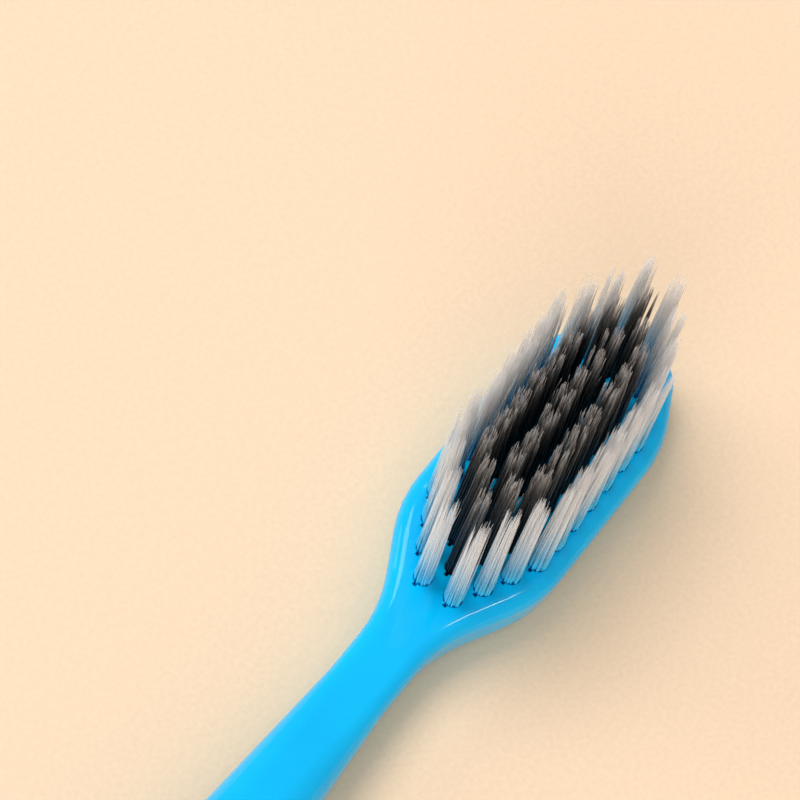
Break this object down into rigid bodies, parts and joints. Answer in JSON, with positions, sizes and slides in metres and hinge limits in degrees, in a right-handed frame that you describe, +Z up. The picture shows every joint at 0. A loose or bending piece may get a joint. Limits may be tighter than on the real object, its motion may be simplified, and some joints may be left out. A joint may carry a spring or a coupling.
{
  "type": "manual toothbrush",
  "caption": "Manual toothbrush: one-piece moulded handle, slim neck and tapered flat head, with a ring of pale outer tufts round a dark inner field, each tuft stapled into its own hole.",
  "frame": {"origin": "middle of the brush's length and width, on the surface that it lies on", "axes": "+X along the brush towards the tip of the head, +Y to the left seen from the handle, +Z up, the way the bristles point"},
  "size_m": [0.1826, 0.013, 0.017],
  "materials": {
    "handle": "glossy moulded",
    "outer_filament": "translucent satin filament",
    "inner_filament": "satin filament",
    "anchor": "drawn flat wire"
  },
  "bodies": {
    "root": {"handle": "handle", "anchors": "anchor", "outer_tuft_01": "outer_filament", "outer_tuft_02": "outer_filament", "outer_tuft_03": "outer_filament", "outer_tuft_04": "outer_filament", "outer_tuft_05": "outer_filament", "outer_tuft_06": "outer_filament", "outer_tuft_07": "outer_filament", "outer_tuft_08": "outer_filament", "outer_tuft_09": "outer_filament", "outer_tuft_10": "outer_filament", "outer_tuft_11": "outer_filament", "outer_tuft_12": "outer_filament", "outer_tuft_13": "outer_filament", "outer_tuft_14": "outer_filament", "outer_tuft_15": "outer_filament", "outer_tuft_16": "outer_filament", "outer_tuft_17": "outer_filament", "outer_tuft_18": "outer_filament", "outer_tuft_19": "outer_filament", "outer_tuft_20": "outer_filament", "outer_tuft_21": "outer_filament", "outer_tuft_22": "outer_filament", "outer_tuft_23": "outer_filament", "outer_tuft_24": "outer_filament", "outer_tuft_25": "outer_filament", "outer_tuft_26": "outer_filament", "inner_tuft_01": "inner_filament", "inner_tuft_02": "inner_filament", "inner_tuft_03": "inner_filament", "inner_tuft_04": "inner_filament", "inner_tuft_05": "inner_filament", "inner_tuft_06": "inner_filament", "inner_tuft_07": "inner_filament", "inner_tuft_08": "inner_filament", "inner_tuft_09": "inner_filament", "inner_tuft_10": "inner_filament", "inner_tuft_11": "inner_filament", "inner_tuft_12": "inner_filament", "inner_tuft_13": "inner_filament", "inner_tuft_14": "inner_filament", "inner_tuft_15": "inner_filament", "inner_tuft_16": "inner_filament", "inner_tuft_17": "inner_filament", "inner_tuft_18": "inner_filament", "inner_tuft_19": "inner_filament", "inner_tuft_20": "inner_filament", "inner_tuft_21": "inner_filament", "inner_tuft_22": "inner_filament", "inner_tuft_23": "inner_filament", "inner_tuft_24": "inner_filament", "inner_tuft_25": "inner_filament", "inner_tuft_26": "inner_filament", "inner_tuft_27": "inner_filament"}
  },
  "joints": []
}
